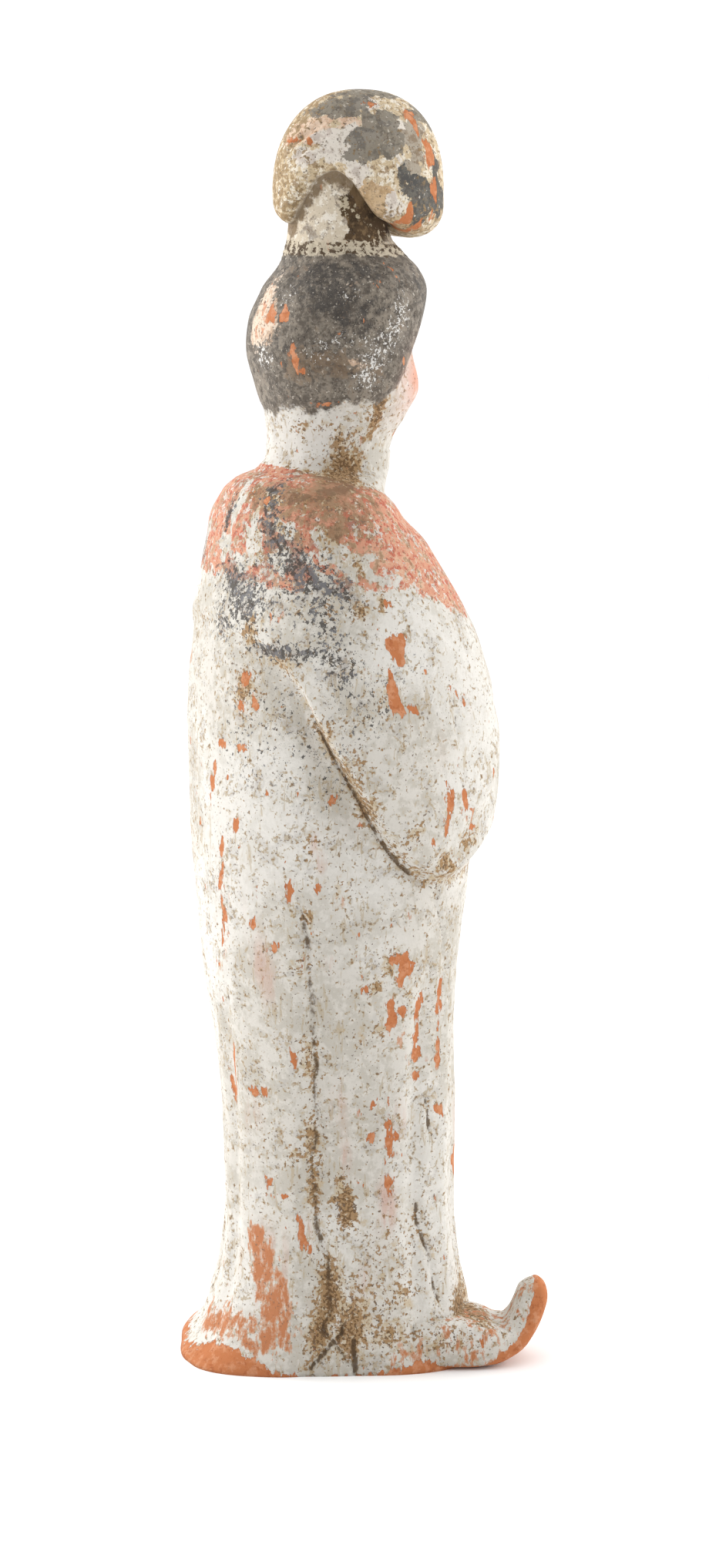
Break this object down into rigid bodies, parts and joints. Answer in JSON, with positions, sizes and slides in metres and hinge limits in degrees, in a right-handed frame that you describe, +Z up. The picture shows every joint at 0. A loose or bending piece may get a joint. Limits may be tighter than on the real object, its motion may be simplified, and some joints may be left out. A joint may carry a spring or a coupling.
{
  "type": "pottery court lady figure",
  "caption": "Standing court lady in painted fired clay, long robe with hanging sleeves, shawl and high rolled topknot, made to stand on a shelf or plinth.",
  "frame": {"origin": "on the underside, below the middle of the body", "axes": "+Z up, the head and sleeves face -Y, the figure's right is -X"},
  "size_m": [0.1061, 0.1043, 0.38],
  "materials": {
    "slipped_clay": null
  },
  "bodies": {
    "root": {"court_lady": "slipped_clay"}
  },
  "joints": []
}
